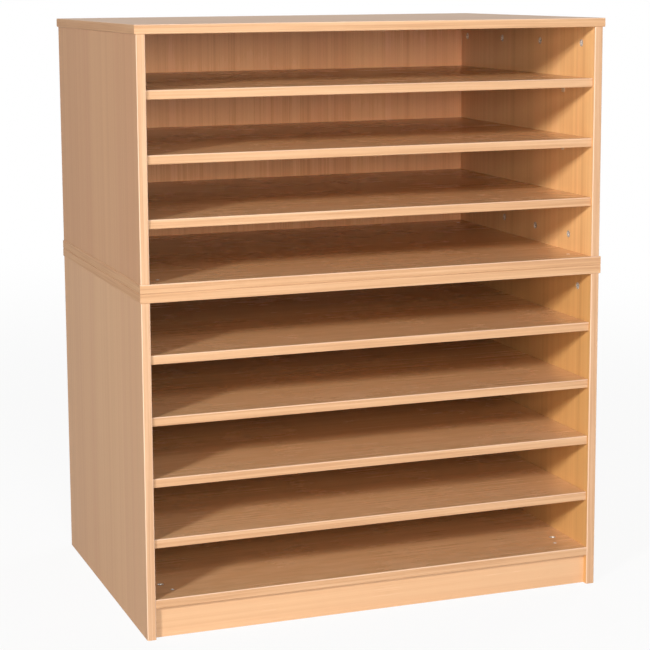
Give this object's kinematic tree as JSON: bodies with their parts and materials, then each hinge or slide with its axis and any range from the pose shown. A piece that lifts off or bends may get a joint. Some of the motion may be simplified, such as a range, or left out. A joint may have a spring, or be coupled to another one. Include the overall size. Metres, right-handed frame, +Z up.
{
  "type": "paper storage rack",
  "caption": "Two-tier flat paper storage rack in beech-effect board, with open front bays between loose full-depth shelves, a solid back and a plinth.",
  "frame": {"origin": "on the floor, in the middle of the plan", "axes": "+Z up, front faces -Y, +X to the right as seen from the front"},
  "size_m": [0.983, 0.6664, 1.189],
  "materials": {
    "beech_board": "satin beech-effect melamine",
    "lipping": "satin beech-colour edging strip",
    "bare_wood": "unfinished wood",
    "zinc": "bright zinc",
    "steel": "zinc-plated steel"
  },
  "bodies": {
    "carcass": {"upper_top": "beech_board", "upper_top_edging": "lipping", "upper_base": "beech_board", "upper_base_edging": "lipping", "upper_left_side": "beech_board", "upper_right_side": "beech_board", "upper_left_side_edging": "lipping", "upper_right_side_edging": "lipping", "upper_back": "beech_board", "shelf_1_supports": "steel", "shelf_2_supports": "steel", "shelf_3_supports": "steel", "lower_top": "beech_board", "lower_top_edging": "lipping", "lower_left_side": "beech_board", "lower_right_side": "beech_board", "lower_left_side_edging": "lipping", "lower_right_side_edging": "lipping", "lower_back": "beech_board", "shelf_4_supports": "steel", "shelf_5_supports": "steel", "shelf_6_supports": "steel", "shelf_7_supports": "steel", "bottom_panel": "beech_board", "bottom_panel_edging": "lipping", "plinth": "beech_board", "corner_blocks": "bare_wood", "upper_top_cams": "zinc", "upper_top_bolts": "steel", "upper_base_cams": "zinc", "upper_base_bolts": "steel", "upper_back_cams": "zinc", "upper_back_bolts": "steel", "lower_top_cams": "zinc", "lower_top_bolts": "steel", "bottom_panel_cams": "zinc", "bottom_panel_bolts": "steel", "lower_back_cams": "zinc", "lower_back_bolts": "steel", "upper_dowels": "bare_wood", "lower_dowels": "bare_wood", "connector_screws": "steel", "corner_block_screws": "steel"},
    "loose_shelf_1": {"shelf_1": "beech_board", "shelf_1_edging": "lipping"},
    "loose_shelf_2": {"shelf_2": "beech_board", "shelf_2_edging": "lipping"},
    "loose_shelf_3": {"shelf_3": "beech_board", "shelf_3_edging": "lipping"},
    "loose_shelf_4": {"shelf_4": "beech_board", "shelf_4_edging": "lipping"},
    "loose_shelf_5": {"shelf_5": "beech_board", "shelf_5_edging": "lipping"},
    "loose_shelf_6": {"shelf_6": "beech_board", "shelf_6_edging": "lipping"},
    "loose_shelf_7": {"shelf_7": "beech_board", "shelf_7_edging": "lipping"}
  },
  "joints": [
    {"name": "shelf_1_slide", "type": "slide", "parent": "carcass", "child": "loose_shelf_1", "axis": [0, -1, 0], "range_m": [0, 0.65]},
    {"name": "shelf_2_slide", "type": "slide", "parent": "carcass", "child": "loose_shelf_2", "axis": [0, -1, 0], "range_m": [0, 0.65]},
    {"name": "shelf_3_slide", "type": "slide", "parent": "carcass", "child": "loose_shelf_3", "axis": [0, -1, 0], "range_m": [0, 0.65]},
    {"name": "shelf_4_slide", "type": "slide", "parent": "carcass", "child": "loose_shelf_4", "axis": [0, -1, 0], "range_m": [0, 0.65]},
    {"name": "shelf_5_slide", "type": "slide", "parent": "carcass", "child": "loose_shelf_5", "axis": [0, -1, 0], "range_m": [0, 0.65]},
    {"name": "shelf_6_slide", "type": "slide", "parent": "carcass", "child": "loose_shelf_6", "axis": [0, -1, 0], "range_m": [0, 0.65]},
    {"name": "shelf_7_slide", "type": "slide", "parent": "carcass", "child": "loose_shelf_7", "axis": [0, -1, 0], "range_m": [0, 0.65]}
  ]
}
